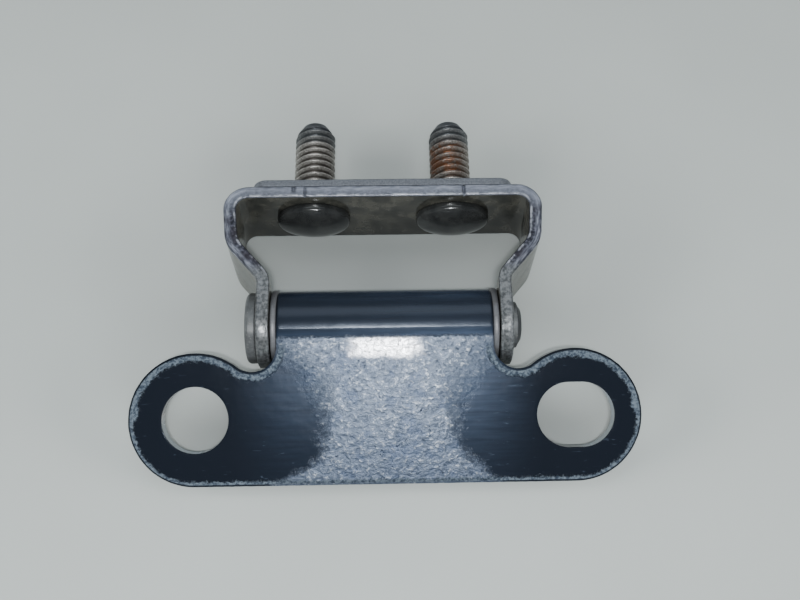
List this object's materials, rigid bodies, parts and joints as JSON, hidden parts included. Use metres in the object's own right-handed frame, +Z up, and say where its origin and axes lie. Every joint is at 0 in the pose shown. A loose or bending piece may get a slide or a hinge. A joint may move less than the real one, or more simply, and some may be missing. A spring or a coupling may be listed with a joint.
{
  "type": "bracket hinge",
  "caption": "Stamped steel hinge: a two-lobed leaf with a rolled knuckle swings on a pin held in a bent U bracket with threaded mounting studs.",
  "frame": {"origin": "centre of the mounting face, midway between the two stud axes, on the outer face of the spacer plate", "axes": "+X along the hinge pin from its head to its peened end, +Y along the studs away from the pin, +Z up from the surface the hinge lies on, which is 7.5 mm below the origin"},
  "size_m": [0.0892, 0.0706, 0.015],
  "materials": {
    "leaf_paint": "worn navy-black gloss paint, rubbed to grey primer over the middle",
    "bracket_paint": "dark paint, bare and scuffed on the sheared edges",
    "spacer_paint": "thin dark paint, worn grey on the edges",
    "stud_left_steel": "dull steel thread with dirt in the roots, painted head",
    "stud_right_steel": "dull steel thread with orange rust on one side, painted head",
    "pin_steel": "thin worn paint over steel",
    "bush_metal": "plain dull metal flange"
  },
  "bodies": {
    "bracket_side": {"bracket": "bracket_paint", "spacer_plate": "spacer_paint", "stud_left": "stud_left_steel", "stud_right": "stud_right_steel", "hinge_pin": "pin_steel"},
    "leaf_side": {"leaf": "leaf_paint", "bush_left": "bush_metal", "bush_right": "bush_metal"}
  },
  "joints": [
    {"name": "leaf_swing", "type": "hinge", "parent": "bracket_side", "child": "leaf_side", "pos_m": [0, -0.0268, 0], "axis": [1, 0, 0], "range_deg": [-96, 110]}
  ]
}
